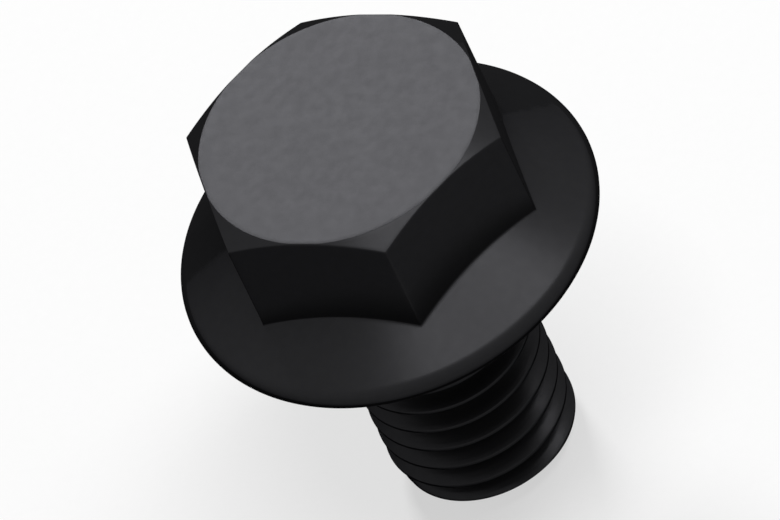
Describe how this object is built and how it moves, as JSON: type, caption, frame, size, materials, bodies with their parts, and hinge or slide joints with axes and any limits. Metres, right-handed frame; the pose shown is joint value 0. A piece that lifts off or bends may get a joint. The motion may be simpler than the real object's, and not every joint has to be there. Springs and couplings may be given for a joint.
{
  "type": "flange bolt",
  "caption": "Hexagon flange bolt: a spanner head forged in one with a sloping round flange, on a short shank with a coarse metric thread and a chamfered tip.",
  "frame": {"origin": "centre of the bearing face, where the underside of the flange meets the clamped part", "axes": "+Z along the bolt's axis from the tip towards the head; +X through a corner of the hexagon"},
  "size_m": [0.0222, 0.0222, 0.0252],
  "materials": {
    "blackened_steel": "smooth, semi-matt black oxide on forged and rolled steel"
  },
  "bodies": {
    "root": {"flange_bolt": "blackened_steel"}
  },
  "joints": []
}
